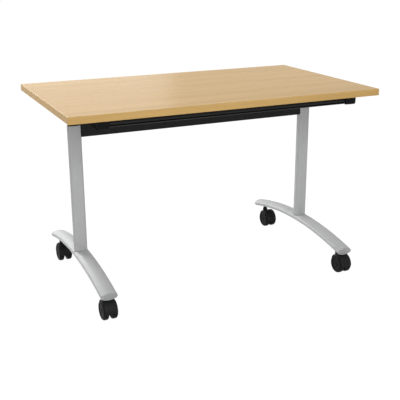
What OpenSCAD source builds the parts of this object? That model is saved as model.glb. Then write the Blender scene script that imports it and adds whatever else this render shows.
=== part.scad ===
// Flip top training table: a board that tips up on a wheeled frame with two T legs.
// Millimetres, Z up, floor at z = 0, front edge of the board toward -Y.

/* [Board] */
// Length of the board, left to right
top_w = 1200; // [1000:10:1800]
// Depth of the board, front to back
top_d = 700; // [680:10:800]
// Height of the working surface above the floor
top_h = 735; // [715:1:770]
// Thickness of the board
board_t = 25; // [18:1:30]
// Thickness of the edge bands
edge_t = 2; // [1:0.5:3]
// Rounding of the edge bands' outer arrises
edge_r = 1.5; // [0.5:0.5:2.5]

/* [Legs] */
// Distance from each end of the board to the middle of its column
leg_inset = 111; // [95:1:200]
// Column width, left to right
column_w = 50; // [46:1:60]
// Column depth, front to back
column_d = 30; // [28:1:44]
// Corner radius of the column
column_r = 11; // [8:1:13]
// Wall of the column, foot and beam tubes
tube_wall = 2; // [1.5:0.5:3]
// Length of a foot, tip to tip
foot_len = 690; // [640:10:720]
// Width of a foot
foot_w = 62; // [56:1:70]
// Height of a foot's section
foot_h = 30; // [26:1:36]
// Radius of a foot's narrow sides
foot_r = 9; // [6:1:12]
// Rise of a foot's arch from its tips to the column
foot_rise = 40; // [20:1:45]
// Height of the arch's middle line above the wheels at the column
foot_over = 59; // [55:1:80]
// Length of the plug of a foot's end cap
foot_plug = 14; // [8:1:24]
// Thickness of a foot's end cap outside the tube
foot_cap_t = 3; // [2:0.5:5]

/* [Beam] */
// Height of the cross beam
beam_h = 62; // [40:1:80]
// Depth of the cross beam
beam_d = 24; // [20:1:26]
// Corner radius of the cross beam
beam_r = 4; // [3:0.5:6]
// How far the beam stands above the column's tube
beam_rise = 17; // [4:1:22]

/* [Arms] */
// Distance from each end of the board to the middle of its support arm
arm_inset = 118.5; // [100:0.5:207]
// Width of a support arm
arm_w = 44; // [44:1:60]
// Depth of a support arm below the board
arm_d = 26.5; // [24:0.5:30]
// Sheet thickness of a support arm
arm_t = 3; // [2:0.5:4]
// Distance from the board's front edge to the arm's end
arm_margin = 12; // [6:1:40]
// Thickness of an arm's end cap
arm_cap_t = 3; // [2:0.5:4]
// Corner radius of an arm's end cap
arm_cap_r = 8; // [3:0.5:9]
// Diameter of an arm screw
screw_d = 5; // [4:0.5:6]
// Depth of an arm screw in the board
screw_in = 14; // [10:1:16]

/* [Hinge] */
// Diameter of the pivot pin
pin_d = 12; // [10:0.5:14]
// Thickness of the lock quadrant
quad_t = 16; // [14:1:18]
// Thickness of a hinge lug
lug_t = 5; // [4:0.5:5]
// Radius of a hinge lug round the pin
lug_r = 12; // [10:0.5:13]
// Height of the hinge head between the column and the lugs
head_h = 23; // [16:1:30]
// Length of the head's plug in the column
head_plug = 45; // [30:1:60]
// Clearance of the board's lower half behind the column
fold_gap = 2; // [1:0.5:6]
// Radial clearance of a running fit
run_fit = 0.06; // [0.03:0.01:0.1]

/* [Release] */
// Diameter of the release bar
bar_d = 20; // [12:0.5:20]
// Wall of the release bar
bar_wall = 2; // [1.5:0.5:3]
// Height of the bar above the arm's lower edge
bar_gap = 0.5; // [0.5:0.5:3]
// Travel of the release bar
stroke = 11; // [8:0.5:12]
// Diameter of a pull rod
rod_d = 8; // [6:0.5:9]
// Thickness of a lock blade
blade_t = 5; // [4:0.5:6]
// Width of a lock blade
blade_w = 14; // [10:0.5:14]
// Wire of a return spring
wire_d = 1.4; // [1:0.1:1.8]

/* [Castors] */
// Diameter of a wheel
wheel_d = 72; // [60:1:80]
// Width of a wheel
wheel_w = 21; // [18:1:24]
// Rounding of a wheel's inner shoulder
wheel_ri = 6; // [3:0.5:7]
// Rounding of a wheel's outer shoulder
wheel_ro = 8; // [3:0.5:9]
// Distance from the swivel axis back to the axle
trail = 26.5; // [20:0.5:32]
// Distance from a foot's tip to the swivel axis
stem_inset = 47; // [40:1:80]
// Diameter of a stem
stem_d = 11; // [9:0.5:12]
// Diameter of a stem's neck
neck_d = 16; // [14:0.5:18]
// Wall thickness of a hood
hood_t = 2.5; // [2:0.5:3]
// Width of a hood
hood_w = 46; // [36:1:48]
// Thickness of the rib between the wheels
web_t = 10; // [6:0.5:12]
// Diameter of an axle
axle_d = 8; // [6:0.5:10]
// Gap between a wheel and its hood
wheel_gap = 1; // [0.6:0.1:2]

/* [Hidden] */
$fn = 48;

// heights and places that follow from the settings
under_z = top_h - board_t;
leg_x = top_w / 2 - leg_inset;
arm_x = top_w / 2 - arm_inset;
arm_end = top_d / 2 - arm_margin;
arm_in = arm_end - arm_cap_t;
arm_bot = under_z - arm_d;
pivot_z = arm_bot - column_d / 2 - fold_gap;
quad_r = under_z - arm_t - 4 - pivot_z;
head_top = pivot_z - lug_r - 2;
column_top = head_top - head_h;
beam_top = column_top + beam_rise;
head_w = column_w - 12;
head_d = column_d - 8;
foot_z = wheel_d + foot_over;
foot_R = (pow(foot_len / 2, 2) + pow(foot_rise, 2)) / (2 * foot_rise);
foot_end_a = asin(foot_len / 2 / foot_R);
foot_tube_a = foot_end_a - atan(foot_cap_t / foot_R);
edge_q = min(edge_r, edge_t - 0.2);

// release gear: the bar is stored drawn, so that the blades stand just clear of the quadrants
bar_y = -(arm_end - 7 - bar_d / 2);
bar_z = arm_bot + bar_gap + bar_d / 2;
rod_z = arm_bot + 1 + rod_d / 2;
rod_h = rod_z - pivot_z;
tip_y = -sqrt(pow(quad_r + 0.6, 2) - pow(rod_h - blade_t / 2, 2));
blade_len = 15;
socket_len = 12;
blade_root = tip_y - blade_len;
blade_back = blade_root - socket_len;
guide_t = 3;
guide_b = blade_back - 3 - guide_t;
collar_t = 4;
collar_y = guide_b - stroke - 2 - collar_t;
spring_l = 32;
guide_f = collar_y - spring_l - guide_t;
lug_in = quad_t / 2 + 1;

// castors: height of the foot's underside at the stem, and its slope there
stem_y = foot_len / 2 - stem_inset;
stem_a = asin(stem_y / foot_R);
stem_mid_z = foot_z - foot_R * (1 - cos(stem_a));
stem_under = stem_mid_z - foot_h / 2 / cos(stem_a);
socket_d = stem_d + 5;
socket_z0 = stem_under - socket_d / 2 * tan(stem_a) - 0.5;
socket_z1 = stem_mid_z + (foot_h / 2 - tube_wall) / cos(stem_a) - socket_d / 2 * tan(stem_a) - 1;
hub_r = wheel_d / 2;
hood_ri = hub_r + wheel_gap;
hood_ro = hood_ri + hood_t;
neck_z0 = hub_r + hood_ro + 1.5;
wheel_x = web_t / 2 + wheel_gap;

// one closed shape from four tangent arcs: w wide, h high, r at the narrow sides
module oval(w, h, r) {
    big = (pow(w / 2 - r, 2) + pow(h / 2, 2) - r * r) / (2 * (h / 2 - r));
    tx = big * (w / 2 - r) / (big - r);
    for (s = [-1, 1]) translate([s * (w / 2 - r), 0]) circle(r, $fn = 64);
    intersection() {
        translate([0, h / 2 - big]) circle(big, $fn = 128);
        translate([0, big - h / 2]) circle(big, $fn = 128);
        square([2 * tx, 2 * h], center = true);
    }
}

// a rectangle with rounded corners about the origin
module rounded(w, h, r) {
    square([w - 2 * r, h], center = true);
    square([w, h - 2 * r], center = true);
    for (x = [-1, 1], y = [-1, 1]) translate([x * (w / 2 - r), y * (h / 2 - r)]) circle(r);
}

// a length of arched tube section from angle a0 to a1, both from the middle of the arch
module arch(w, h, r, a0, a1) {
    translate([0, 0, foot_z - foot_R]) rotate([0, -90, 0]) rotate([0, 0, a0])
        rotate_extrude(angle = a1 - a0, $fn = 720) translate([foot_R, 0]) rotate(90) oval(w, h, r);
}

// a rod along X between two places
module x_rod(x0, x1, y, z, d) {
    translate([x0, y, z]) rotate([0, 90, 0]) cylinder(d = d, h = x1 - x0);
}

// a rod along Y between two places
module y_rod(x, y0, y1, z, d) {
    translate([x, y0, z]) rotate([-90, 0, 0]) cylinder(d = d, h = y1 - y0);
}

module screw_places(s) {
    for (f = [-0.8, -0.5, 0.25, 0.55, 0.85], e = [-1, 1])
        translate([s * arm_x + e * arm_w * 0.27, f * arm_end, 0]) children();
}

module top_board() {
    color([0.84, 0.74, 0.58]) difference() {
        translate([-top_w / 2 + edge_t, -top_d / 2 + edge_t, under_z])
            cube([top_w - 2 * edge_t, top_d - 2 * edge_t, board_t]);
        for (s = [-1, 1]) screw_places(s)
            translate([0, 0, under_z - 1]) cylinder(d = screw_d, h = screw_in + 1);
    }
}

// section of an edge band: inner face on x = 0, outer face at x = edge_t
module band_section() {
    intersection() {
        translate([edge_t - board_t / 2, board_t / 2]) rounded(board_t, board_t, edge_q);
        square([edge_t, board_t]);
    }
}

module edge_band_front() {
    color([0.79, 0.65, 0.42]) intersection() {
        translate([-top_w / 2, -top_d / 2 + edge_t, under_z]) rotate([90, 0, 90])
            linear_extrude(top_w) mirror([1, 0]) band_section();
        translate([0, 0, under_z - 1]) linear_extrude(board_t + 2) rounded(top_w, top_d, edge_q);
    }
}

module edge_band_back() {
    color([0.79, 0.65, 0.42]) intersection() {
        translate([-top_w / 2, top_d / 2 - edge_t, under_z]) rotate([90, 0, 90])
            linear_extrude(top_w) band_section();
        translate([0, 0, under_z - 1]) linear_extrude(board_t + 2) rounded(top_w, top_d, edge_q);
    }
}

module edge_band_side(s) {
    color([0.79, 0.65, 0.42])
        translate([s * (top_w / 2 - edge_t), top_d / 2 - edge_t, under_z]) rotate([90, 0, 0])
        linear_extrude(top_d - 2 * edge_t) mirror([s < 0 ? 1 : 0, 0]) band_section();
}

// channel open below, with a notch for the release bar in its inner flange
module support_arm(s) {
    slot_y1 = bar_y + stroke;
    color([0.16, 0.165, 0.165]) difference() {
        translate([s * arm_x, arm_in, under_z]) rotate([90, 0, 0]) linear_extrude(2 * arm_in)
            difference() {
                translate([-arm_w / 2, -arm_d]) square([arm_w, arm_d]);
                translate([-arm_w / 2 + arm_t, -arm_d - 1]) square([arm_w - 2 * arm_t, arm_d - arm_t + 1]);
            }
        translate([s * (arm_x - arm_w / 2 + arm_t / 2), 0, bar_z]) rotate([90, 0, 90])
            linear_extrude(arm_t + 2, center = true) {
                for (y = [bar_y, slot_y1]) translate([y, 0]) circle(bar_d / 2 + 0.4);
                translate([bar_y, -bar_d / 2 - 0.4]) square([stroke, bar_d + 0.8]);
                translate([bar_y - bar_d / 2 - 0.4, -arm_d]) square([stroke + bar_d + 0.8, arm_d]);
            }
        screw_places(s) translate([0, 0, under_z - arm_t - 1]) cylinder(d = screw_d, h = arm_t + 2);
    }
}

module arm_end_caps(s) {
    in_w = arm_w - 2 * arm_t;
    color([0.12, 0.12, 0.125]) for (e = [-1, 1]) {
        translate([s * arm_x, e * (arm_in + arm_cap_t / 2), under_z - arm_d / 2]) rotate([90, 0, 0])
            linear_extrude(arm_cap_t, center = true) {
                rounded(arm_w, arm_d, arm_cap_r);
                translate([-arm_w / 2, 0]) square([arm_w, arm_d / 2]);
            }
        translate([s * arm_x, e * (arm_in - 1.5), under_z - arm_t - 2]) rotate([90, 0, 0])
            linear_extrude(3, center = true)
            difference() {
                translate([-in_w / 2, -arm_d + arm_t + 4]) square([in_w, arm_d - arm_t - 2]);
                translate([-in_w / 2 + 2, -arm_d]) square([in_w - 4, arm_d]);
            }
    }
}

// two plates from the channel's web down to the pin
module hinge_lugs(s) {
    color([0.2, 0.2, 0.21]) for (e = [-1, 1])
        translate([s * arm_x + e * (lug_in + lug_t / 2), 0, pivot_z]) rotate([90, 0, 90])
            linear_extrude(lug_t, center = true) difference() {
                union() {
                    circle(lug_r);
                    translate([-lug_r, 0]) square([2 * lug_r, under_z - arm_t - pivot_z]);
                }
                circle(pin_d / 2);
            }
}

module pivot_pin(s) {
    out = lug_in + lug_t;
    color([0.62, 0.63, 0.64]) {
        x_rod(s * arm_x - out, s * arm_x + out, 0, pivot_z, pin_d);
        for (e = [-1, 1]) x_rod(s * arm_x + e * (out + 1.5) - 1.5, s * arm_x + e * (out + 1.5) + 1.5,
            0, pivot_z, pin_d + 6);
    }
}

module arm_screws(s) {
    color([0.55, 0.56, 0.57]) screw_places(s) {
        translate([0, 0, under_z - arm_t]) cylinder(d = screw_d, h = arm_t + screw_in);
        translate([0, 0, under_z - arm_t - 2.5]) difference() {
            cylinder(d = screw_d * 1.9, h = 2.5);
            for (a = [0, 90]) rotate(a) cube([screw_d, 1, 2.4], center = true);
        }
    }
}

module rod_guides(s) {
    in_w = arm_w - 2 * arm_t;
    color([0.2, 0.2, 0.21]) for (y = [guide_f, guide_b]) difference() {
        translate([s * arm_x - in_w / 2, y, arm_bot]) cube([in_w, guide_t, arm_d - arm_t]);
        y_rod(s * arm_x, y - 1, y + guide_t + 1, rod_z, rod_d + 2 * run_fit);
    }
}

module release_bar() {
    x1 = arm_x + 12;
    color([0.11, 0.11, 0.115]) difference() {
        x_rod(-x1, x1, bar_y, bar_z, bar_d);
        x_rod(-x1 - 1, x1 + 1, bar_y, bar_z, bar_d - 2 * bar_wall);
    }
}

module pull_rod(s) {
    color([0.6, 0.61, 0.62]) difference() {
        y_rod(s * arm_x, bar_y, blade_back + socket_len - 3, rod_z, rod_d);
        x_rod(s * arm_x - rod_d, s * arm_x + rod_d, bar_y, bar_z, bar_d);
    }
}

module lock_blade(s) {
    color([0.66, 0.66, 0.65]) {
        translate([s * arm_x - blade_w / 2, blade_root, rod_z - blade_t / 2])
            cube([blade_w, blade_len, blade_t]);
        difference() {
            y_rod(s * arm_x, blade_back, blade_root, rod_z, rod_d + 2);
            y_rod(s * arm_x, blade_back - 1, blade_root - 3, rod_z, rod_d);
        }
    }
}

module rod_collar(s) {
    color([0.5, 0.5, 0.51]) difference() {
        y_rod(s * arm_x, collar_y, collar_y + collar_t, rod_z, rod_d + 2);
        y_rod(s * arm_x, collar_y - 1, collar_y + collar_t + 1, rod_z, rod_d);
    }
}

// wire wound round the rod from the front guide to the collar
module return_spring(s) {
    turns = 7;
    n = turns * 14;
    m = 6;
    w = wire_d / 2;
    rc = rod_d / 2 + 0.15 + w;
    pts = [for (i = [0:n], k = [0:m - 1])
        let (a = 360 * turns * i / n, b = 360 * k / m, q = rc + w * cos(b))
        [q * cos(a), q * sin(a), w + (spring_l - 2 * w) * i / n + w * sin(b)]];
    sides = [for (i = [0:n - 1], k = [0:m - 1])
        let (p = i * m + k, r = i * m + (k + 1) % m) [p, p + m, r + m, r]];
    ends = [[for (k = [0:m - 1]) k], [for (k = [m - 1:-1:0]) n * m + k]];
    color([0.72, 0.73, 0.74]) translate([s * arm_x, guide_f + guide_t, rod_z]) rotate([-90, 0, 0])
        polyhedron(points = pts, faces = concat(sides, ends), convexity = 10);
}

module column(s) {
    color([0.68, 0.69, 0.7]) difference() {
        translate([s * leg_x, 0, foot_z]) linear_extrude(column_top - foot_z) difference() {
            rounded(column_w, column_d, column_r);
            rounded(column_w - 2 * tube_wall, column_d - 2 * tube_wall, column_r - tube_wall);
        }
        translate([s * leg_x, 0, 0]) arch(foot_w, foot_h, foot_r, -8, 8);
    }
}

module foot(s) {
    color([0.7, 0.71, 0.72]) translate([s * leg_x, 0, 0]) difference() {
        arch(foot_w, foot_h, foot_r, -foot_tube_a, foot_tube_a);
        arch(foot_w - 2 * tube_wall, foot_h - 2 * tube_wall, foot_r - tube_wall,
            -foot_tube_a - 1, foot_tube_a + 1);
        for (e = [-1, 1]) translate([0, e * stem_y, socket_z0 - 2])
            cylinder(d = socket_d, h = stem_mid_z - socket_z0);
    }
}

module foot_caps(s) {
    plug_a = foot_tube_a - atan(foot_plug / foot_R);
    step_a = foot_end_a - atan(1 / foot_R);
    mid_a = (foot_tube_a + step_a) / 2;
    color([0.66, 0.67, 0.68]) translate([s * leg_x, 0, 0]) for (e = [0, 1]) mirror([0, e, 0]) {
        arch(foot_w, foot_h, foot_r, foot_tube_a, step_a);
        arch(foot_w - 2, foot_h - 2, foot_r - 1, mid_a, foot_end_a);
        difference() {
            arch(foot_w - 2 * tube_wall, foot_h - 2 * tube_wall, foot_r - tube_wall, plug_a, mid_a);
            arch(foot_w - 4 * tube_wall, foot_h - 4 * tube_wall, foot_r - 2 * tube_wall,
                plug_a - 1, foot_tube_a);
        }
    }
}

module cross_beam() {
    color([0.16, 0.17, 0.165]) difference() {
        translate([-leg_x, 0, beam_top - beam_h / 2]) rotate([90, 0, 90]) linear_extrude(2 * leg_x)
            difference() {
                rounded(beam_d, beam_h, beam_r);
                rounded(beam_d - 2 * tube_wall, beam_h - 2 * tube_wall, beam_r - tube_wall);
            }
        for (s = [-1, 1]) translate([s * leg_x, 0, beam_top - beam_h - 5])
            linear_extrude(beam_h + 10) rounded(column_w, column_d, column_r);
    }
}

// plug in the column, block on it, and the quadrant with a lock slot for each position
module hinge_head(s) {
    slot_t = blade_t + 0.6;
    slot_end = -tip_y - stroke - 0.4;
    color([0.13, 0.13, 0.135]) difference() {
        union() {
            translate([s * leg_x, 0, column_top - head_plug]) linear_extrude(head_plug)
                rounded(column_w - 2 * tube_wall, column_d - 2 * tube_wall, column_r - tube_wall);
            translate([s * leg_x, 0, column_top]) linear_extrude(head_h)
                rounded(head_w, head_d, column_r - 4);
            translate([s * arm_x - quad_t / 2, -head_d / 2 + 2, column_top])
                cube([quad_t, head_d - 4, pivot_z - column_top]);
            intersection() {
                x_rod(s * arm_x - quad_t / 2, s * arm_x + quad_t / 2, 0, pivot_z, 2 * quad_r);
                translate([s * arm_x - quad_t, -2 * quad_r, head_top]) cube([2 * quad_t, 4 * quad_r, 4 * quad_r]);
            }
        }
        x_rod(s * arm_x - quad_t, s * arm_x + quad_t, 0, pivot_z, pin_d + 2 * run_fit);
        translate([s * arm_x - quad_t, -2 * quad_r, rod_z - slot_t / 2])
            cube([2 * quad_t, 2 * quad_r - slot_end, slot_t]);
        translate([s * arm_x - quad_t, rod_h - slot_t / 2, pivot_z + slot_end])
            cube([2 * quad_t, slot_t, 2 * quad_r]);
    }
}

module castor_sockets() {
    color([0.3, 0.3, 0.31]) for (sx = [-1, 1], sy = [-1, 1])
        translate([sx * leg_x, sy * stem_y, socket_z0]) difference() {
            cylinder(d = socket_d, h = socket_z1 - socket_z0);
            translate([0, 0, -1]) cylinder(d = stem_d + 2 * run_fit, h = socket_z1 - socket_z0 + 2);
        }
}

module at_castor(sx, sy) {
    translate([sx * leg_x, sy * stem_y, 0]) children();
}

module castor_stem(sx, sy) {
    color([0.14, 0.14, 0.145]) at_castor(sx, sy) {
        translate([0, 0, neck_z0 - 10]) cylinder(d = stem_d, h = socket_z1 - 2 - neck_z0 + 10);
        translate([0, 0, neck_z0]) cylinder(d = neck_d, h = socket_z0 - 0.4 - neck_z0);
    }
}

// shell over the wheels, rib between them, and a boss for the stem
module castor_hood(sx, sy) {
    color([0.15, 0.15, 0.155]) at_castor(sx, sy) difference() {
        union() {
            translate([0, -trail, hub_r]) rotate([0, -90, 0]) rotate([0, 0, -93])
                rotate_extrude(angle = 157, $fn = 96) translate([hood_ri + hood_t / 2, 0])
                rounded(hood_t, hood_w, hood_t / 2 - 0.2);
            intersection() {
                x_rod(-web_t / 2, web_t / 2, -trail, hub_r, 2 * hood_ri + 1);
                translate([-web_t, -trail - 2 * hub_r, hub_r - 10]) cube([2 * web_t, 4 * hub_r, 4 * hub_r]);
            }
            difference() {
                translate([0, 0, hub_r]) cylinder(d = neck_d + 4, h = neck_z0 - hub_r);
                x_rod(-hood_w, hood_w, -trail, hub_r, 2 * hood_ri + 1);
            }
        }
        translate([0, 0, neck_z0 - 10]) cylinder(d = stem_d, h = 20);
        x_rod(-hood_w, hood_w, -trail, hub_r, axle_d);
    }
}

module castor_axle(sx, sy) {
    half = wheel_x + wheel_w * 0.78;
    color([0.6, 0.61, 0.62]) at_castor(sx, sy) x_rod(-half, half, -trail, hub_r, axle_d);
}

// turned section of a wheel: first number from the axle, second from its inner face
module wheel_section() {
    bore = axle_d / 2 + run_fit;
    rim = wheel_d / 2 - 11;
    outer = wheel_d / 2;
    translate([rim, 0]) square([11 - wheel_ro, wheel_w]);
    translate([rim, 0]) square([11 - wheel_ri, wheel_w - wheel_ro]);
    translate([rim, wheel_ri]) square([11, wheel_w - wheel_ri - wheel_ro]);
    translate([outer - wheel_ri, wheel_ri]) circle(wheel_ri);
    translate([outer - wheel_ro, wheel_w - wheel_ro]) circle(wheel_ro);
    translate([bore, wheel_w * 0.55]) square([rim - bore + 1, wheel_w * 0.25]);
    translate([bore, 0]) square([axle_d / 2 + 1, wheel_w * 0.8]);
    translate([0, wheel_w * 0.8]) square([rim + 1, wheel_w * 0.12]);
    translate([0, wheel_w * 0.8]) square([axle_d / 2 + 5, wheel_w * 0.17]);
}

// e is -1 for the left wheel and 1 for the right wheel
module wheel(sx, sy, e) {
    color([0.17, 0.17, 0.175]) at_castor(sx, sy) translate([e * wheel_x, -trail, hub_r])
        rotate([0, e * 90, 0]) rotate_extrude($fn = 96) wheel_section();
}

top_board();
edge_band_front();
edge_band_back();
edge_band_side(-1);  // edge_band_left
edge_band_side(1);  // edge_band_right
support_arm(-1);  // support_arm_left
support_arm(1);  // support_arm_right
arm_end_caps(-1);  // arm_end_caps_left
arm_end_caps(1);  // arm_end_caps_right
hinge_lugs(-1);  // hinge_lugs_left
hinge_lugs(1);  // hinge_lugs_right
pivot_pin(-1);  // pivot_pin_left
pivot_pin(1);  // pivot_pin_right
arm_screws(-1);  // arm_screws_left
arm_screws(1);  // arm_screws_right
rod_guides(-1);  // rod_guides_left
rod_guides(1);  // rod_guides_right
release_bar();
pull_rod(-1);  // pull_rod_left
pull_rod(1);  // pull_rod_right
lock_blade(-1);  // lock_blade_left
lock_blade(1);  // lock_blade_right
rod_collar(-1);  // rod_collar_left
rod_collar(1);  // rod_collar_right
return_spring(-1);  // return_spring_left
return_spring(1);  // return_spring_right
column(-1);  // column_left
column(1);  // column_right
foot(-1);  // foot_left
foot(1);  // foot_right
foot_caps(-1);  // foot_caps_left
foot_caps(1);  // foot_caps_right
cross_beam();
hinge_head(-1);  // hinge_head_left
hinge_head(1);  // hinge_head_right
castor_sockets();
castor_stem(-1, -1);  // castor_stem_fl
castor_stem(1, -1);  // castor_stem_fr
castor_stem(-1, 1);  // castor_stem_bl
castor_stem(1, 1);  // castor_stem_br
castor_hood(-1, -1);  // castor_hood_fl
castor_hood(1, -1);  // castor_hood_fr
castor_hood(-1, 1);  // castor_hood_bl
castor_hood(1, 1);  // castor_hood_br
castor_axle(-1, -1);  // castor_axle_fl
castor_axle(1, -1);  // castor_axle_fr
castor_axle(-1, 1);  // castor_axle_bl
castor_axle(1, 1);  // castor_axle_br
wheel(-1, -1, -1);  // wheel_left_fl
wheel(1, -1, -1);  // wheel_left_fr
wheel(-1, 1, -1);  // wheel_left_bl
wheel(1, 1, -1);  // wheel_left_br
wheel(-1, -1, 1);  // wheel_right_fl
wheel(1, -1, 1);  // wheel_right_fr
wheel(-1, 1, 1);  // wheel_right_bl
wheel(1, 1, 1);  // wheel_right_br
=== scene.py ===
"""Flip top training table: its looks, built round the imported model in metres, Z up, front toward -Y."""
import math

import bmesh
import bpy
import numpy as np
from mathutils import Matrix, Vector


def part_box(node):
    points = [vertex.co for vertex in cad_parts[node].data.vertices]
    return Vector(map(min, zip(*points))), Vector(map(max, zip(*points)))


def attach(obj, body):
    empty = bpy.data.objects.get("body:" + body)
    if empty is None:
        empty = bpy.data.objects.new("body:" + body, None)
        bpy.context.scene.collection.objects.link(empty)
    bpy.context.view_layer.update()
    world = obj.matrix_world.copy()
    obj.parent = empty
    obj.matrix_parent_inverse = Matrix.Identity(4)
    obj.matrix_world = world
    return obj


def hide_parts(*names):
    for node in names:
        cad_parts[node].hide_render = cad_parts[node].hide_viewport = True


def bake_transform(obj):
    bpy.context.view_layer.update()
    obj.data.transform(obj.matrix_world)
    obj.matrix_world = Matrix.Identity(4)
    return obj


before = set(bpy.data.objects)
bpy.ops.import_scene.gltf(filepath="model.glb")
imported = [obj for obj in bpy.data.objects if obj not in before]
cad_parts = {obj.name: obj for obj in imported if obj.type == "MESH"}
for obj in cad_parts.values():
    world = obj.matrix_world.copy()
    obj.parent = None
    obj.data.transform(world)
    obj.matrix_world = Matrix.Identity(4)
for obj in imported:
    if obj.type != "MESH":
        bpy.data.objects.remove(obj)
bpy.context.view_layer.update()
scene = bpy.context.scene
scene.view_settings.view_transform = "Standard"
SIDES = {"left": -1, "right": 1}
CORNERS = {"fl": (-1, -1), "fr": (1, -1), "bl": (-1, 1), "br": (1, 1)}
X, Y, Z = range(3)
MM = 0.001
TURN = 2 * math.pi
QUARTER = TURN / 4


def reach_of(name, axis):
    """A node's lowest and highest place along an axis, to the micrometre."""
    low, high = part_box(name)
    return round(low[axis], 6), round(high[axis], 6)


# Materials: small helpers, then one function for each kind of finish

def new_finish(name, colour, roughness, metallic=0.0, specular=0.5):
    """A material with one Principled shader; the uniform values go on its own sockets."""
    mat = bpy.data.materials.new(name)
    mat.use_nodes = True
    tree = mat.node_tree
    shader = tree.nodes["Principled BSDF"]
    shader.inputs["Base Color"].default_value = (*colour, 1)
    shader.inputs["Roughness"].default_value = roughness
    shader.inputs["Metallic"].default_value = metallic
    shader.inputs["Specular IOR Level"].default_value = specular
    return mat, tree, shader


def node(tree, kind, **values):
    """Adds a node and sets the given properties, and inputs where the key names one."""
    made = tree.nodes.new(kind)
    for key, value in values.items():
        if key in made.inputs:
            made.inputs[key].default_value = value
        else:
            setattr(made, key, value)
    return made


def place(tree, scale):
    """Object coordinates, stretched by scale along each axis."""
    where = node(tree, "ShaderNodeTexCoord")
    fit = node(tree, "ShaderNodeMapping", Scale=scale)
    tree.links.new(where.outputs["Object"], fit.inputs["Vector"])
    return fit.outputs["Vector"]


def noise(tree, scale, detail=3.0, rough=0.55, distortion=0.0):
    """Noise value from 0 to 1; scale is one number, or one for each axis."""
    stretch = scale if isinstance(scale, tuple) else (scale, scale, scale)
    made = node(tree, "ShaderNodeTexNoise", Scale=1.0, Detail=detail, Roughness=rough, Distortion=distortion)
    tree.links.new(place(tree, stretch), made.inputs["Vector"])
    return made.outputs["Fac"]


def spread(tree, value, low, high, to_low=0.0, to_high=1.0):
    """Maps low..high of a value onto to_low..to_high, held at the ends."""
    ends = {"From Min": low, "From Max": high, "To Min": to_low, "To Max": to_high}
    made = node(tree, "ShaderNodeMapRange", **ends)
    tree.links.new(value, made.inputs["Value"])
    return made.outputs["Result"]


def shade(tree, amount, first, second):
    """A colour between two, by amount; each is a tuple or a socket."""
    made = node(tree, "ShaderNodeMix", data_type="RGBA")
    tree.links.new(amount, made.inputs["Factor"])
    for socket, colour in ((made.inputs[6], first), (made.inputs[7], second)):
        if isinstance(colour, tuple):
            socket.default_value = (*colour, 1)
        else:
            tree.links.new(colour, socket)
    return made.outputs[2]


def between(tree, amount, first, second):
    """A number between a socket's value and a plain one, by amount."""
    made = node(tree, "ShaderNodeMix", data_type="FLOAT")
    tree.links.new(amount, made.inputs[0])
    tree.links.new(first, made.inputs[2])
    made.inputs[3].default_value = second
    return made.outputs[0]


def tint(colour, share):
    """The colour times a share, held at white."""
    return tuple(min(1.0, share * c) for c in colour)


NOISE_LOW, NOISE_HIGH = 0.3, 0.7


def mottled(tree, value, colour, less, more):
    """The colour, from a share less to a share more by a noise value."""
    amount = spread(tree, value, NOISE_LOW, NOISE_HIGH)
    return shade(tree, amount, tint(colour, 1 - less), tint(colour, 1 + more))


def vary_gloss(tree, shader, value, roughness, less, more):
    """The shader's roughness, from a little less than given to a little more by a noise value."""
    gloss = spread(tree, value, NOISE_LOW, NOISE_HIGH, roughness - less, roughness + more)
    tree.links.new(gloss, shader.inputs["Roughness"])


def soft_edges(tree, radius):
    """The normal rounded over the arrises, and a mask that is 1 on them and 0 on open faces."""
    bevel = node(tree, "ShaderNodeBevel", samples=6, Radius=radius)
    flat = node(tree, "ShaderNodeNewGeometry")
    dot = node(tree, "ShaderNodeVectorMath", operation="DOT_PRODUCT")
    tree.links.new(bevel.outputs["Normal"], dot.inputs[0])
    tree.links.new(flat.outputs["Normal"], dot.inputs[1])
    return bevel.outputs["Normal"], spread(tree, dot.outputs["Value"], 0.8, 0.99, 1.0, 0.0)


def raise_bump(tree, shader, height, strength, distance, normal=None):
    """Bump from a height value into the shader's normal, on top of a rounded normal where one is given."""
    made = node(tree, "ShaderNodeBump", Strength=strength, Distance=distance)
    tree.links.new(height, made.inputs["Height"])
    if normal is not None:
        tree.links.new(normal, made.inputs["Normal"])
    tree.links.new(made.outputs["Normal"], shader.inputs["Normal"])


WOOD_PALE, WOOD_DEEP = (0.62, 0.39, 0.13), (0.53, 0.322, 0.095)
WOOD_LAYERS = {
    "bands": {"scale": (0.9, 15.0), "detail": 3.0, "rough": 0.5, "distortion": 0.5,
              "low": 0.32, "high": 0.7, "share": 1.0, "tone": 1.0},
    "figure": {"scale": (2.0, 62.0), "detail": 4.0, "rough": 0.6, "distortion": 0.3,
               "low": 0.44, "high": 0.74, "share": 0.75, "tone": 0.96},
    "lines": {"scale": (6.0, 380.0), "detail": 3.0, "rough": 0.6, "distortion": 0.0,
              "low": 0.5, "high": 0.78, "share": 0.32, "tone": 0.84},
    "flecks": {"scale": (75.0, 1500.0), "detail": 2.0, "rough": 0.5, "distortion": 0.0,
               "low": 0.66, "high": 0.76, "share": 0.22, "tone": 0.6},
}
BACKING_ROUGHNESS = 0.55
BACKING_RELIEF = 0.5


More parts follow.
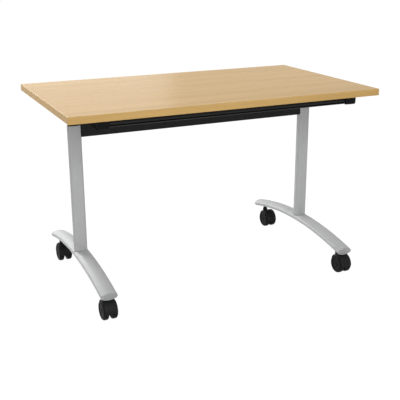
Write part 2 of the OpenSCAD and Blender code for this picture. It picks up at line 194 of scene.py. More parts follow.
def wood_effect(name, along, roughness, specular, backing=None):
    """Pale straight-grained melamine. Grain runs along one axis: bands a few centimetres wide, figure a few
    millimetres wide, fine lines and short dark flecks, each a noise stretched along the grain. A backing is a
    plain smooth colour below a height, for the board's underside, with a faint cloud in it."""
    mat, tree, shader = new_finish(name, WOOD_PALE, roughness, specular=specular)
    colour, value = WOOD_PALE, {}
    for key, layer in WOOD_LAYERS.items():
        lengthwise, crosswise = layer["scale"]
        stretch = (lengthwise, crosswise, crosswise) if along == "x" else (crosswise, lengthwise, crosswise)
        value[key] = noise(tree, stretch, layer["detail"], layer["rough"], layer["distortion"])
        amount = spread(tree, value[key], layer["low"], layer["high"], 0.0, layer["share"])
        colour = shade(tree, amount, colour, tint(WOOD_DEEP, layer["tone"]))
    gloss = spread(tree, value["lines"], 0.3, 0.75, roughness - 0.04, roughness + 0.06)
    relief = value["flecks"]
    if backing:
        plain, height = backing
        split = node(tree, "ShaderNodeSeparateXYZ")
        tree.links.new(place(tree, (1.0, 1.0, 1.0)), split.inputs[0])
        below = spread(tree, split.outputs["Z"], height, height + 0.2 * MM, 1.0, 0.0)
        clouded = shade(tree, noise(tree, 30.0), tint(plain, 0.94), tint(plain, 1.06))
        colour = shade(tree, below, colour, clouded)
        gloss = between(tree, below, gloss, BACKING_ROUGHNESS)
        relief = between(tree, below, relief, BACKING_RELIEF)
    tree.links.new(colour, shader.inputs["Base Color"])
    tree.links.new(gloss, shader.inputs["Roughness"])
    raise_bump(tree, shader, relief, strength=0.1, distance=0.4 * MM)
    return mat


def powder_coat(name, colour, roughness, specular, strength, wear, metallic=0.0, grain=1500.0, cloudy=0.06):
    """Sprayed coat: fine pebbled bump, cloudy change of tone and gloss a few centimetres across, and
    arrises that are a little rounder and rubbed lighter."""
    mat, tree, shader = new_finish(name, colour, roughness, metallic, specular)
    eased, arris = soft_edges(tree, 0.8 * MM)
    cloud = noise(tree, 24.0)
    pebble = noise(tree, grain, detail=2.0)
    rub = noise(tree, 90.0)
    body = mottled(tree, cloud, colour, cloudy, cloudy)
    worn = node(tree, "ShaderNodeMath", operation="MULTIPLY")
    tree.links.new(arris, worn.inputs[0])
    tree.links.new(spread(tree, rub, 0.35, 0.7), worn.inputs[1])
    tree.links.new(shade(tree, worn.outputs[0], body, tint(colour, wear)), shader.inputs["Base Color"])
    vary_gloss(tree, shader, pebble, roughness, less=0.04, more=0.06)
    raise_bump(tree, shader, pebble, strength, 0.3 * MM, eased)
    return mat


def moulded(name, colour, roughness, specular=0.4, strength=0.1, scuff=1.5):
    """Moulded plastic: spark-eroded fine texture, a faint flow pattern, and light scuffs."""
    mat, tree, shader = new_finish(name, colour, roughness, specular=specular)
    eased, arris = soft_edges(tree, 0.6 * MM)
    flow = noise(tree, 55.0, rough=0.5, distortion=0.6)
    spark = noise(tree, 2600.0, detail=2.0)
    marks = noise(tree, (160.0, 700.0, 160.0), rough=0.7)
    body = mottled(tree, flow, colour, less=0.12, more=0.12)
    scuffed = shade(tree, spread(tree, marks, 0.6, 0.8, 0.0, 0.5), body, tint(colour, scuff))
    tree.links.new(shade(tree, arris, scuffed, tint(colour, scuff)), shader.inputs["Base Color"])
    vary_gloss(tree, shader, flow, roughness, less=0.05, more=0.07)
    raise_bump(tree, shader, spark, strength, 0.2 * MM, eased)
    return mat


def plated(name, colour, roughness):
    """Zinc-plated steel: metal with drawn lines and cloudy gloss."""
    mat, tree, shader = new_finish(name, colour, roughness, metallic=1.0)
    eased, arris = soft_edges(tree, 0.4 * MM)
    cloud = noise(tree, 180.0)
    lines = noise(tree, (900.0, 60.0, 900.0), detail=2.0)
    body = mottled(tree, cloud, colour, less=0.14, more=0.06)
    tree.links.new(shade(tree, arris, body, tint(colour, 1.15)), shader.inputs["Base Color"])
    vary_gloss(tree, shader, cloud, roughness, less=0.06, more=0.1)
    raise_bump(tree, shader, lines, 0.06, 0.2 * MM, eased)
    return mat


def paint_slot_shade(mat, centre, radius):
    """Painted shade inside a bar's slot: the colour falls to near black a little below the bar's radius,
    by the distance from the bar's axis, which runs along X through centre."""
    tree = mat.node_tree
    shader = tree.nodes["Principled BSDF"]
    coat = shader.inputs["Base Color"].links[0].from_socket
    reach = node(tree, "ShaderNodeVectorMath", operation="DISTANCE")
    tree.links.new(place(tree, (0.0, 1.0, 1.0)), reach.inputs[0])
    reach.inputs[1].default_value = (0.0, *centre)
    # Painted shade: near black on the slot's walls and floor, standing in for the shadow inside the slot
    slot_shade = spread(tree, reach.outputs["Value"], radius - 0.9 * MM, radius - 0.2 * MM, 1.0, 0.0)
    tree.links.new(shade(tree, slot_shade, coat, (0.001, 0.001, 0.001)), shader.inputs["Base Color"])


UNDERSIDE = ((0.5, 0.5, 0.49), reach_of("top_board", Z)[0] + 0.2 * MM)
BOARD = wood_effect("board_melamine", "x", roughness=0.26, specular=0.055, backing=UNDERSIDE)
BAND_LONG = wood_effect("band_long", "x", roughness=0.58, specular=0.5)
BAND_SHORT = wood_effect("band_short", "y", roughness=0.5, specular=0.5)
SILVER = powder_coat("silver_coat", (0.467, 0.469, 0.472), 0.6, specular=0.4, strength=0.05, wear=1.1,
                     metallic=0.15, grain=1700.0, cloudy=0.02)
SILVER_CAP = moulded("silver_cap", (0.37, 0.372, 0.375), 0.5, strength=0.06, scuff=1.1)
BLACK_COAT = powder_coat("black_coat", (0.019, 0.0193, 0.019), 0.5, specular=0.08, strength=0.12, wear=1.6)
# Painted shade: the arms, lugs, guides and hinge heads share the beam's black coat, made about four times
# darker and duller here to stand in for the board's shadow over them
SHADED_BLACK_STEEL = powder_coat("black_steel", (0.005, 0.005, 0.005), 0.7, specular=0.01, strength=0.12, wear=1.5)
BLACK_BAR = powder_coat("black_bar", (0.024, 0.024, 0.0236), 0.5, specular=0.06, strength=0.08, wear=1.5)
BLACK_CAP = moulded("black_cap", (0.0095, 0.0095, 0.0097), 0.5, specular=0.03)
ZINC = plated("zinc_plate", (0.62, 0.63, 0.64), 0.3)
HOOD_BLACK = moulded("hood_black", (0.013, 0.013, 0.0132), 0.45, specular=0.1)
WHEEL_BLACK = moulded("wheel_black", (0.0085, 0.0085, 0.0087), 0.5, specular=0.07)
SOCKET_GREY = moulded("socket_grey", (0.03, 0.03, 0.031), 0.5)

FINISHES = {"top_board": BOARD, "edge_band_front": BAND_LONG, "edge_band_back": BAND_LONG,
            "edge_band_left": BAND_SHORT, "edge_band_right": BAND_SHORT, "cross_beam": BLACK_COAT,
            "release_bar": BLACK_BAR, "castor_sockets": SOCKET_GREY}
# The parts under the board take the darker black coat, which is painted shade
SIDE_FINISHES = {"support_arm": SHADED_BLACK_STEEL, "hinge_lugs": SHADED_BLACK_STEEL, "rod_guides": SHADED_BLACK_STEEL,
                 "hinge_head": SHADED_BLACK_STEEL, "pivot_pin": ZINC, "arm_screws": ZINC, "pull_rod": ZINC,
                 "lock_blade": ZINC, "rod_collar": ZINC, "return_spring": ZINC, "column": SILVER,
                 "foot": SILVER, "arm_end_caps": BLACK_CAP, "foot_caps": SILVER_CAP}
CORNER_FINISHES = {"castor_stem": BLACK_COAT, "castor_hood": HOOD_BLACK, "castor_axle": ZINC,
                   "wheel_left": WHEEL_BLACK, "wheel_right": WHEEL_BLACK}
for endings, finishes in ((SIDES, SIDE_FINISHES), (CORNERS, CORNER_FINISHES)):
    for ending in endings:
        for part, finish in finishes.items():
            FINISHES[f"{part}_{ending}"] = finish
for name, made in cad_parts.items():
    made.data.materials.clear()
    made.data.materials.append(FINISHES[name])


# Surfaces: grids of points, closed at their ends, and the pieces made of them

CREASE = math.radians(35)


def xyz(x, y, z):
    """Points from three arrays of coordinates, brought to one shape."""
    return np.stack(np.broadcast_arrays(x, y, z), -1)


def grid_faces(rows, cols, wrap_rows=False):
    """Four-point faces of a grid whose columns run round; rows run round too where told."""
    row = np.arange(rows if wrap_rows else rows - 1)[:, None]
    col = np.arange(cols)[None, :]
    below, beside = (row + 1) % rows, (col + 1) % cols
    four = (row * cols + col, row * cols + beside, below * cols + beside, below * cols + col)
    return np.stack(np.broadcast_arrays(*four), -1).reshape(-1, 4)


def tube(grid, first=None, last=None):
    """Rings of points joined in order; each end is closed by a fan to a point, which is its ring's middle
    unless given."""
    rows, cols = grid.shape[:2]
    ends = [grid[0].mean(0) if first is None else first, grid[-1].mean(0) if last is None else last]
    col = np.arange(cols)
    beside = (col + 1) % cols
    foot = (rows - 1) * cols
    hub = np.full(cols, rows * cols)
    fans = np.vstack([np.stack([hub, beside, col], -1), np.stack([hub + 1, foot + col, foot + beside], -1)])
    return np.vstack([grid.reshape(-1, 3), ends]), grid_faces(rows, cols), fans


def hoop(grid):
    """Rings of points joined in order and back to the first."""
    rows, cols = grid.shape[:2]
    return grid.reshape(-1, 3), grid_faces(rows, cols, True), np.zeros((0, 3), int)


def add_piece(name, shells, finish, body=None, replaced=()):
    """One mesh at the origin from closed shells: faces outward and smooth, folds over the crease angle
    crisp. It rides on a body where one is given, and stands for the nodes it replaces."""
    starts = np.cumsum([0] + [len(points) for points, _, _ in shells])
    faces = []
    for start, (_, fours, threes) in zip(starts, shells):
        faces += (fours + start).tolist() + (threes + start).tolist()
    mesh = bpy.data.meshes.new(name)
    mesh.from_pydata(np.vstack([points for points, _, _ in shells]).tolist(), [], faces)
    shape = bmesh.new()
    shape.from_mesh(mesh)
    bmesh.ops.recalc_face_normals(shape, faces=shape.faces)
    shape.to_mesh(mesh)
    shape.free()
    mesh.polygons.foreach_set("use_smooth", np.ones(len(mesh.polygons), bool))
    mesh.set_sharp_from_angle(angle=CREASE)
    mesh.materials.append(finish)
    made = bpy.data.objects.new(name, mesh)
    scene.collection.objects.link(made)
    if body:
        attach(made, body)
    if replaced:
        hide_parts(*replaced)
    return made


def wide_radius(width, height, narrow):
    """Radius of an oval's upper and lower arcs, tangent to the narrow arcs at its two ends."""
    return ((width / 2 - narrow) ** 2 + height ** 2 / 4 - narrow ** 2) / (height - 2 * narrow)


def oval(width, height, narrow, count=96):
    """Outline of four tangent arcs, with its outward directions: narrow-radius arcs at the two ends, wide
    arcs above and below. A point is an arc's centre plus its radius times the direction, whose angle runs
    evenly."""
    wide = wide_radius(width, height, narrow)
    angle = (np.arange(count) + 0.5) * TURN / count
    out = np.stack([np.cos(angle), np.sin(angle)], -1)
    turn_over = math.atan2(wide - height / 2, width / 2 - narrow)
    at_end = np.abs(out[:, 1]) < math.sin(turn_over)
    end = np.stack([np.sign(out[:, 0]) * (width / 2 - narrow), np.zeros(count)], -1) + narrow * out
    flank = np.stack([np.zeros(count), np.sign(out[:, 1]) * (height / 2 - wide)], -1) + wide * out
    return np.where(at_end[:, None], end, flank), out


def oval_top(width, height, narrow, x):
    """Height of the oval's upper arcs above its middle line, at distance x from the centre."""
    wide = wide_radius(width, height, narrow)
    join = wide * (width / 2 - narrow) / (wide - narrow)
    flank = height / 2 - wide + np.sqrt(wide ** 2 - np.minimum(np.abs(x), join) ** 2)
    end = np.sqrt(np.maximum(narrow ** 2 - (np.abs(x) - width / 2 + narrow) ** 2, 0))
    return np.where(np.abs(x) < join, flank, end)


def round_cornered(width, height, radii, arc_count=16, flat_count=12):
    """Outline of a rectangle with its own radius at each corner, with its outward directions. Each corner is
    a quarter circle about its own centre; straight runs join them."""
    arcs, ways = [], []
    for k, (sx, sy) in enumerate(((1, 1), (-1, 1), (-1, -1), (1, -1))):
        angle = np.linspace(k, k + 1, arc_count) * QUARTER
        way = np.stack([np.cos(angle), np.sin(angle)], -1)
        centre = np.array([sx * (width / 2 - radii[k]), sy * (height / 2 - radii[k])])
        arcs.append(centre + radii[k] * way)
        ways.append(way)
    share = np.linspace(0, 1, flat_count + 2)[1:-1, None]
    points, outs = [], []
    for k in range(4):
        run = arcs[k][-1] * (1 - share) + arcs[(k + 1) % 4][0] * share
        points += [arcs[k], run]
        outs += [ways[k], np.repeat(ways[k][-1:], flat_count, 0)]
    return np.concatenate(points), np.concatenate(outs)


# Legs: arched feet, their caps, columns and the weld round each column's base

COLUMN_FROM, COLUMN_TO = reach_of("column_left", X)
LEG_X = -(COLUMN_FROM + COLUMN_TO) / 2
COLUMN_DEEP = 2 * reach_of("column_left", Y)[1]
COLUMN = (COLUMN_TO - COLUMN_FROM, COLUMN_DEEP, [11 * MM] * 4)
COLUMN_TOP = reach_of("column_left", Z)[1]
COLUMN_SINK, COLUMN_LIP, COLUMN_INSIDE = 1.5 * MM, 0.6 * MM, 30 * MM
COLUMN_ROWS = 41
WALL = 2 * MM
FOOT_FROM, FOOT_TO = reach_of("foot_left", X)
FOOT = (FOOT_TO - FOOT_FROM, 30 * MM, 9 * MM)
FOOT_HALF = 345 * MM
FOOT_RISE = 40 * MM
FOOT_MID = 131 * MM
FOOT_CAP = 3 * MM
ARCH = (FOOT_HALF ** 2 + FOOT_RISE ** 2) / (2 * FOOT_RISE)
FOOT_TUBE = math.asin(FOOT_HALF / ARCH) - math.atan(FOOT_CAP / ARCH)
WELD_R, WELD_LIFT = 1.3 * MM, 0.2 * MM
RIPPLE_SHARE, RIPPLE_POINTS = 0.1, 6


def on_arch(outline, angle, side):
    """Carries an outline (across, up) along the arch: up adds to the arch's radius, and the angle sets how
    far round from the column it stands."""
    radius = ARCH + outline[..., 1]
    across = side * LEG_X + outline[..., 0]
    return xyz(across, radius * np.sin(angle), FOOT_MID - ARCH + radius * np.cos(angle))


def foot_shell(side):
    """The oval carried along the arch from tip to tip."""
    angle = np.linspace(-FOOT_TUBE, FOOT_TUBE, 121)[:, None]
    return tube(on_arch(oval(*FOOT)[0][None], angle, side))


def foot_cap_shell(side, end):
    """The oval carried over the cap's thickness: a hair-line joint, a straight rim, a quarter-round nose,
    then a face that swells slightly to its middle. Each ring has a place along the cap and an amount set
    in."""
    turn = np.linspace(0, QUARTER, 7)
    joint = [(-1.0, 0.5), (0.06, 0.5), (0.2, 0.12), (0.6, 0.0)]
    nose = np.stack([1.1 + 1.5 * np.sin(turn), 1.6 * (1 - np.cos(turn))], -1)
    face = [(2.72, 3.5), (2.85, 6.0)]
    face_middle = 2.95 * MM
    along, inset = np.concatenate([joint, nose, face]).T * MM
    outline, out = oval(*FOOT)
    rings = outline - inset[:, None, None] * out
    angle = end * (FOOT_TUBE + along / ARCH)[:, None]
    middle = on_arch(np.zeros((1, 2)), np.array([end * (FOOT_TUBE + face_middle / ARCH)]), side)[0]
    return tube(on_arch(rings, angle, side), last=middle)


def foot_surface(x, y):
    """Height of the foot's upper surface under a point of the column, x from the leg's middle."""
    return FOOT_MID - ARCH + np.sqrt((ARCH + oval_top(*FOOT, x)) ** 2 - y ** 2)


def column_shell(side):
    """The column's outline from the foot's surface up: outer wall, quarter-round lip, then the inner wall
    down a little way. Heights run evenly from the foot's curved surface to the lip."""
    outer, out = round_cornered(*COLUMN)
    base = foot_surface(outer[:, 0], outer[:, 1]) - COLUMN_SINK
    share = np.linspace(0, 1, COLUMN_ROWS)[:, None]
    lip = np.linspace(0, QUARTER, 5)[1:]
    inset = np.concatenate([np.zeros(COLUMN_ROWS), COLUMN_LIP * (1 - np.cos(lip)), [WALL, WALL]])
    top = COLUMN_TOP - np.concatenate([COLUMN_LIP * (1 - np.sin(lip)), [0.0, COLUMN_INSIDE]])
    wall = base + share * (COLUMN_TOP - COLUMN_LIP - base)
    height = np.vstack([wall, np.broadcast_to(top[:, None], (len(top), len(outer)))])
    flat = outer - inset[:, None, None] * out
    return tube(xyz(side * LEG_X + flat[..., 0], flat[..., 1], height))


def weld_shell(side):
    """A fillet of weld round the column's base: a small circle carried round the column's outline on the
    foot's surface, its radius rippled on the way."""
    path, out = round_cornered(*COLUMN, arc_count=48, flat_count=60)
    turn = np.linspace(0, TURN, 10, endpoint=False)
    ripple = WELD_R * (1 + RIPPLE_SHARE * np.cos(np.arange(len(path)) * TURN / RIPPLE_POINTS))[:, None]
    height = foot_surface(path[:, 0], path[:, 1])[:, None] + WELD_LIFT + ripple * np.sin(turn)
    step = ripple * np.cos(turn)
    across = side * LEG_X + path[:, :1] + out[:, :1] * step
    deep = path[:, 1:] + out[:, 1:] * step
    return hoop(xyz(across, deep, height))


for side, s in SIDES.items():
    add_piece(f"foot_tube_{side}", [foot_shell(s)], SILVER, "frame", [f"foot_{side}"])
    add_piece(f"foot_end_caps_{side}", [foot_cap_shell(s, -1), foot_cap_shell(s, 1)], SILVER_CAP,
              "frame", [f"foot_caps_{side}"])
    add_piece(f"column_tube_{side}", [column_shell(s)], SILVER, "frame", [f"column_{side}"])
    add_piece(f"column_weld_{side}", [weld_shell(s)], SILVER, "frame")


# Castors: wheels and hoods. The names without MM are in millimetres, and angles are in degrees from straight
# up over the axle, toward the back

STEM_Y = -sum(reach_of("castor_stem_fl", Y)) / 2
TRAIL = 26.5 * MM
AXLE_Z = 36 * MM
WHEEL_IN = 6.0
CAP_MIDDLE, BORE_END = 20.35, 16.75
HOOD_OUT, HOOD_THICK, HOOD_HALF = 39.5, 2.5, 23.0
HOOD_FRONT, HOOD_BACK, HOOD_LIP = -93, 64, 2
HOOD_SAG = 1.3
HOOD_COLS, HOOD_ROWS = 25, 61
RIB_OUT, RIB_CUT, RIB_FLAT, RIB_EASE = 37.3, 10.0, 3.8, 1.2
BOSS_R, BOSS_FROM, BOSS_TO, BOSS_FLARE = 10 * MM, 37.4 * MM, 40 * MM, 1.6 * MM
BOSS_COLS = 64
BOSS_RIM = np.array([(9.8, 40.6), (9.3, 40.95), (5.6, 41.0), (5.5, 38.0)]) * MM


def arc(centre, radius, start, stop, count):
    """Points of an arc in a wheel's section, as (from the axle, from the inner face), angles in degrees."""
    a = np.radians(np.linspace(start, stop, count))
    return np.stack([centre[0] + radius * np.cos(a), centre[1] + radius * np.sin(a)], -1)


# The section runs from the hub cap over the dished cover, rim, outer shoulder, tread with its mould line and
# inner shoulder to the hollow inner side and the bore
WHEEL_SECTION = np.concatenate([
    [(2.5, 20.3), (5.0, 20.15), (7.2, 19.7), (8.4, 19.2)],
    [(8.8, 18.7), (9.2, 18.4), (9.9, 18.4), (10.3, 18.8)],
    np.stack([np.linspace(10.9, 23.2, 8), 19.05 - 0.35 * np.sin(np.linspace(0, math.pi, 8))], -1),
    [(23.7, 18.9), (24.0, 18.3), (24.6, 18.3), (24.9, 18.9), (25.2, 20.2), (25.7, 20.75), (26.5, 20.97)],
    arc((28.0, 13.0), 8.0, 90, 0, 15),
    [(36.0, 10.9), (35.75, 10.6), (35.75, 10.1), (36.0, 9.8)],
    arc((30.0, 6.0), 6.0, 0, -90, 11),
    [(25.7, 0.0), (25.0, 0.7), (25.0, 11.0), (24.4, 11.6), (9.6, 11.6), (9.0, 11.0), (9.0, 0.6)],
    [(8.5, 0.0), (4.6, 0.0), (4.1, 0.5), (4.1, 16.7)]])


def round_axle(across, radius, angle, sx, sy):
    """Points round a castor's axle, by their distance across and their radius, both in millimetres, and their
    angle from straight up."""
    middle = np.array([sx * LEG_X, sy * STEM_Y - TRAIL, AXLE_Z])
    return xyz(across * MM, radius * MM * np.sin(angle), radius * MM * np.cos(angle)) + middle


def wheel_shell(sx, sy, e):
    """The wheel's section turned about the axle: hub cap, dished cover, rim, round shoulders and tread."""
    turn = QUARTER - np.linspace(0, TURN, 96, endpoint=False)
    grid = round_axle(e * (WHEEL_IN + WHEEL_SECTION[:, 1:]), WHEEL_SECTION[:, :1], turn, sx, sy)
    cap = round_axle(e * (WHEEL_IN + CAP_MIDDLE), 0, 0, sx, sy)
    bore = round_axle(e * (WHEEL_IN + BORE_END), 0, 0, sx, sy)
    return tube(grid, cap, bore)


def hood_shell(sx, sy):
    """A thin band with round edges carried round the axle from low in front to behind the stem. It is lower
    at its edges by a fourth power of the distance from its middle, and its two lips thin to a round."""
    flat = np.linspace(-1, 1, HOOD_COLS)
    edge = np.linspace(QUARTER, -QUARTER, 8)[1:-1]
    half = HOOD_THICK / 2
    straight = HOOD_HALF - half
    rim = straight + half * np.cos(edge)
    across = np.concatenate([straight * flat, rim, -straight * flat, -rim])
    skin = np.concatenate([np.full(HOOD_COLS, half), half * np.sin(edge)])
    lift = np.concatenate([skin, -skin])
    sag = HOOD_SAG * (across / HOOD_HALF) ** 4
    lip = np.linspace(0, QUARTER, 6)
    thin = 0.2 + 0.8 * np.sin(lip)
    reach = np.degrees(half * (1 - np.cos(lip)) / HOOD_OUT)
    body = np.linspace(HOOD_FRONT + HOOD_LIP, HOOD_BACK - HOOD_LIP, HOOD_ROWS)
    angle = np.concatenate([HOOD_FRONT + reach, body, HOOD_BACK - reach[::-1]])[:, None]
    thick = np.concatenate([thin, np.ones(HOOD_ROWS), thin[::-1]])[:, None]
    return tube(round_axle(across, HOOD_OUT - half - sag + lift * thick, np.radians(angle), sx, sy))


def rib_shell(sx, sy):
    """The rib between the wheels: a disc cut off level below the axle. Its outline is the lesser of the
    disc's radius and the cut's distance at each angle, set in a little at the two faces to round its
    edges."""
    angle = np.linspace(0, TURN, 144, endpoint=False)
    down = np.maximum(-np.cos(angle), 1e-6)
    outline = np.minimum(RIB_OUT, RIB_CUT / down)
    nose = np.linspace(0, QUARTER, 5)
    ease = RIB_EASE * (1 - np.sin(nose))
    face = RIB_FLAT + RIB_EASE * np.cos(nose)
    inset = np.concatenate([ease, ease[::-1]])[:, None]
    across = np.concatenate([-face, face[::-1]])[:, None]
    return tube(round_axle(across, outline - inset, angle, sx, sy))


def boss_shell(sx, sy):
    """The boss under the stem: a round post from the hood's inner curve up, flared where it leaves the hood
    and eased at its top. Its foot lies on a cylinder about the axle."""
    turn = np.linspace(0, TURN, BOSS_COLS, endpoint=False)[None]
    back = TRAIL + BOSS_R * np.sin(turn)
    low = np.sqrt(BOSS_FROM ** 2 - back ** 2)
    skin = np.sqrt((HOOD_OUT * MM) ** 2 - back ** 2)
    share = np.linspace(0, 1, 14)[:, None]
    height = low + share * (BOSS_TO - low)
    flare = BOSS_FLARE * np.exp(-np.maximum(height - skin, 0) / BOSS_FLARE) * (share > 0.05)
    rim_radius, rim_height = np.broadcast_to(BOSS_RIM.T[..., None], (2, len(BOSS_RIM), BOSS_COLS))
    radius = np.vstack([BOSS_R + flare, rim_radius])
    height = np.vstack([height, rim_height])
    middle = np.array([sx * LEG_X, sy * STEM_Y, AXLE_Z])
    return tube(xyz(radius * np.cos(turn), radius * np.sin(turn), height) + middle)


for corner, (sx, sy) in CORNERS.items():
    hood = [hood_shell(sx, sy), rib_shell(sx, sy), boss_shell(sx, sy)]
    add_piece(f"hood_{corner}", hood, HOOD_BLACK, f"castor_{corner}",
              [f"castor_hood_{corner}"])
    for side, e in SIDES.items():
        add_piece(f"tyre_{side}_{corner}", [wheel_shell(sx, sy, e)], WHEEL_BLACK,
                  f"wheel_{side}_{corner}", [f"wheel_{side}_{corner}"])


# Release gear: the slotted bar, coil springs that stretch between the arm's guide and the rod's collar, and
# the arms' end caps. The slot's angles are in degrees, from level at the front, upward

ARM_FROM, ARM_TO = reach_of("support_arm_left", X)
ARM_X = -(ARM_FROM + ARM_TO) / 2
ARM_WIDE = ARM_TO - ARM_FROM
ARM_LOW, ARM_TOP = reach_of("support_arm_left", Z)
ARM_UPPER_ROUND, ARM_LOWER_ROUND = 1.6 * MM, 8 * MM
CAP_FROM = reach_of("support_arm_left", Y)[1]
CAP_THICK = reach_of("arm_end_caps_left", Y)[1] - CAP_FROM
CAP_EASE = 1.2 * MM
ROD_Z = 688.5 * MM
SPRING_FROM, SPRING_TO = -113.56 * MM, -81.56 * MM
SPRING_TURNS, TURN_POINTS = 8, 28
WIRE = 0.7 * MM
COIL = 4.85 * MM
BAR_Y = sum(reach_of("release_bar", Y)) / 2
BAR_LOW, BAR_HIGH = reach_of("release_bar", Z)
BAR_Z, BAR_R = (BAR_LOW + BAR_HIGH) / 2, (BAR_HIGH - BAR_LOW) / 2
BAR_HALF = reach_of("release_bar", X)[1]
SLOT_HIGH, SLOT_LOW, SLOT_LIP, BAR_STEP = -4.0, -31.0, 1.6, 3
SLOT_DEEP, SLOT_FALL = 8 * MM, math.radians(13)
SLOT_HALF, SLOT_FADE = 455 * MM, 3 * MM


def bar_shell():
    """The bar's outline carried along X. The outline is a circle with a finger slot low on the front: the
    points of the slot's mouth are pushed in and a little down by its depth, less close to its two lips. Each
    ring has a place along the bar, a share of the radius and a share of the slot's depth, so that the slot
    ends before the arms and the bar's ends are eased."""
    mouth = np.linspace(SLOT_HIGH, SLOT_LOW, 41)
    angle = np.concatenate([mouth, np.linspace(SLOT_LOW - BAR_STEP, SLOT_HIGH + BAR_STEP - 360, 80)])
    lip = np.minimum(np.abs(angle - SLOT_HIGH), np.abs(angle - SLOT_LOW))
    push = np.where(angle >= SLOT_LOW, np.clip(lip / SLOT_LIP, 0, 1), 0) * SLOT_DEEP
    half = np.array([(BAR_HALF, 0.88, 0), (BAR_HALF - 0.3 * MM, 0.96, 0), (BAR_HALF - 1.2 * MM, 1, 0),
                     (SLOT_HALF + SLOT_FADE, 1, 0), (SLOT_HALF, 1, 1)])
    along, shrink, open_slot = np.vstack([half * (-1, 1, 1), half[::-1]]).T[..., None]
    deep = open_slot * push
    a = np.radians(angle)
    y = BAR_Y - shrink * BAR_R * np.cos(a) + deep * math.cos(SLOT_FALL)
    z = BAR_Z + shrink * BAR_R * np.sin(a) - deep * math.sin(SLOT_FALL)
    return tube(xyz(along, y, z))


def spring_shell(side):
    """A wire wound round the rod: a small circle carried along a helix whose first and last turns lie
    close."""
    t = np.linspace(0, SPRING_TURNS, SPRING_TURNS * TURN_POINTS + 1)
    close = 2.1 * WIRE
    length = SPRING_TO - SPRING_FROM - 2 * WIRE
    rise = np.interp(t, [0, 1, SPRING_TURNS - 1, SPRING_TURNS], [0, close, length - close, length])[:, None]
    turn = np.linspace(0, TURN, 10, endpoint=False)[None]
    a = (t * TURN)[:, None]
    reach = COIL + WIRE * np.cos(turn)
    along = SPRING_FROM + WIRE + rise + WIRE * np.sin(turn)
    return tube(xyz(side * ARM_X + reach * np.cos(a), along, ROD_Z + reach * np.sin(a)))


def arm_cap_shell(side, end):
    """An arm's end cap: a rectangle with big round lower corners and eased upper ones, carried through the
    cap's thickness, its outer arris a quarter round."""
    radii = [ARM_UPPER_ROUND, ARM_UPPER_ROUND, ARM_LOWER_ROUND, ARM_LOWER_ROUND]
    outline, out = round_cornered(ARM_WIDE, ARM_TOP - ARM_LOW, radii, arc_count=12, flat_count=4)
    nose = np.linspace(0, QUARTER, 6)
    inset = np.concatenate([[0.0], CAP_EASE * (1 - np.cos(nose))])[:, None, None]
    along = np.concatenate([[0.0], CAP_THICK - CAP_EASE * (1 - np.sin(nose))])[:, None]
    rings = outline - inset * out
    height = (ARM_TOP + ARM_LOW) / 2 + rings[..., 1]
    return tube(xyz(side * ARM_X + rings[..., 0], end * (CAP_FROM + along), height))


# The bar's slot gets painted shade: its inside is made near black
paint_slot_shade(BLACK_BAR, (BAR_Y, BAR_Z), BAR_R)
add_piece("pull_bar", [bar_shell()], BLACK_BAR, "release", ["release_bar"])
for side, s in SIDES.items():
    spring = add_piece(f"coil_spring_{side}", [spring_shell(s)], ZINC,
                       replaced=[f"return_spring_{side}"])
    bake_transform(spring)
    add_piece(f"arm_caps_{side}", [arm_cap_shell(s, -1), arm_cap_shell(s, 1)], BLACK_CAP,
              "top", [f"arm_end_caps_{side}"])


# Camera: the photograph's own view, as a place, a heading and a slope

EYE = Vector((-1.19145, -2.64235, 1.23041))
HEADING = 0.42868
SLOPE = 0.31612
ROLL = -0.004
FOCAL_PIXELS = 755.14
FRAME_PIXELS = 400.0
AXIS_PIXEL = (200.22, 197.97)
lens = bpy.data.cameras.new("camera")
lens.sensor_width = 36.0
lens.lens = FOCAL_PIXELS * lens.sensor_width / FRAME_PIXELS
lens.shift_x = (FRAME_PIXELS / 2 - AXIS_PIXEL[0]) / FRAME_PIXELS
lens.shift_y = (AXIS_PIXEL[1] - FRAME_PIXELS / 2) / FRAME_PIXELS
lens.clip_start = 0.05
lens.clip_end = 60.0
camera = bpy.data.objects.new("camera", lens)
level = Matrix.Rotation(-HEADING, 4, "Z") @ Matrix.Rotation(QUARTER - SLOPE, 4, "X")
camera.matrix_world = Matrix.Translation(EYE) @ level @ Matrix.Rotation(ROLL, 4, "Z")
scene.collection.objects.link(camera)
scene.camera = camera


# Stage: a pale floor and a white room, both white where they are looked at, and soft studio light

WHITE = (1, 1, 1, 1)
FLOOR_COLOUR = (0.85, 0.85, 0.85, 1)
FLOOR_WHITE_SHARE, FLOOR_WHITE = 0.92, 1.055
FLOOR_REACH = 30.0
CEILING_FROM, CEILING_TO, CEILING_LIGHT = 0.2, 0.9, 0.78


def looked_at(tree):
    """1 where the camera, a reflection or a view through glass looks, and 0 for the light that is shed."""
    path = node(tree, "ShaderNodeLightPath")
    held = path.outputs["Is Camera Ray"]
    for name in ("Is Glossy Ray", "Is Transmission Ray"):
        more = node(tree, "ShaderNodeMath", operation="MAXIMUM")
        tree.links.new(held, more.inputs[0])
        tree.links.new(path.outputs[name], more.inputs[1])
        held = more.outputs[0]
    return held


def send_mix(tree, amount, first, second, output):
    """Sends a mix of two shaders, by amount, to an output node of the given kind."""
    mix = node(tree, "ShaderNodeMixShader")
    tree.links.new(amount, mix.inputs[0])
    tree.links.new(first.outputs[0], mix.inputs[1])
    tree.links.new(second.outputs[0], mix.inputs[2])
    tree.links.new(mix.outputs[0], node(tree, output).inputs[0])


def floor_finish():
    """Pale floor: nearly plain white to the camera and in reflections, with the shadow kept under that."""
    mat = bpy.data.materials.new("pale_floor")
    mat.use_nodes = True
    tree = mat.node_tree
    tree.nodes.clear()
    body = node(tree, "ShaderNodeBsdfDiffuse", Color=FLOOR_COLOUR)
    white = node(tree, "ShaderNodeEmission", Color=WHITE, Strength=FLOOR_WHITE)
    share = spread(tree, looked_at(tree), 0.0, 1.0, 0.0, FLOOR_WHITE_SHARE)
    send_mix(tree, share, body, white, "ShaderNodeOutputMaterial")
    return mat


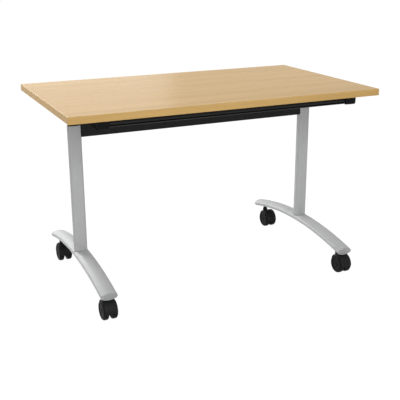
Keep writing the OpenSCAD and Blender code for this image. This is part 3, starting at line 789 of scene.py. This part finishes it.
def studio_world():
    """A room that is white to the camera and in reflections. The light it sheds is a pale ceiling's, which
    fades toward the horizon by the height of the direction."""
    world = bpy.data.worlds.new("studio")
    world.use_nodes = True
    tree = world.node_tree
    tree.nodes.clear()
    way = node(tree, "ShaderNodeTexCoord")
    split = node(tree, "ShaderNodeSeparateXYZ")
    tree.links.new(way.outputs["Generated"], split.inputs[0])
    ceiling = node(tree, "ShaderNodeBackground", Color=WHITE)
    overhead = spread(tree, split.outputs["Z"], CEILING_FROM, CEILING_TO, 0.0, CEILING_LIGHT)
    tree.links.new(overhead, ceiling.inputs["Strength"])
    plain = node(tree, "ShaderNodeBackground", Color=WHITE, Strength=1.0)
    send_mix(tree, looked_at(tree), ceiling, plain, "ShaderNodeOutputWorld")
    return world


def soft_lamp(name, place_at, aim, size, watts, height=None):
    """A soft box at a place, turned to face a point: square, or an oval where a height is given."""
    light = bpy.data.lights.new(name, "AREA")
    light.shape = "ELLIPSE" if height else "SQUARE"
    light.size = size
    light.size_y = height or size
    light.energy = watts
    made = bpy.data.objects.new(name, light)
    way = Vector(aim) - Vector(place_at)
    made.matrix_world = Matrix.Translation(place_at) @ way.to_track_quat("-Z", "Y").to_matrix().to_4x4()
    scene.collection.objects.link(made)


floor_mesh = bpy.data.meshes.new("floor")
floor_corners = [(sx * FLOOR_REACH, sy * FLOOR_REACH, 0) for sx, sy in ((-1, -1), (1, -1), (1, 1), (-1, 1))]
floor_mesh.from_pydata(floor_corners, [], [(0, 1, 2, 3)])
floor_mesh.materials.append(floor_finish())
floor = bpy.data.objects.new("floor", floor_mesh)
scene.collection.objects.link(floor)
scene.world = studio_world()
soft_lamp("key", (-0.6, -3.8, 2.2), aim=(0, 0, 0.5), size=2.6, watts=75.0)
soft_lamp("back", (-1.3, 3.2, 2.4), aim=(-0.3, 0, 0.4), size=1.6, watts=112.0)
soft_lamp("glow", (-0.35, 3.2, 1.4), aim=(-0.35, 0, 0.7), size=3.2, watts=11.0, height=2.0)
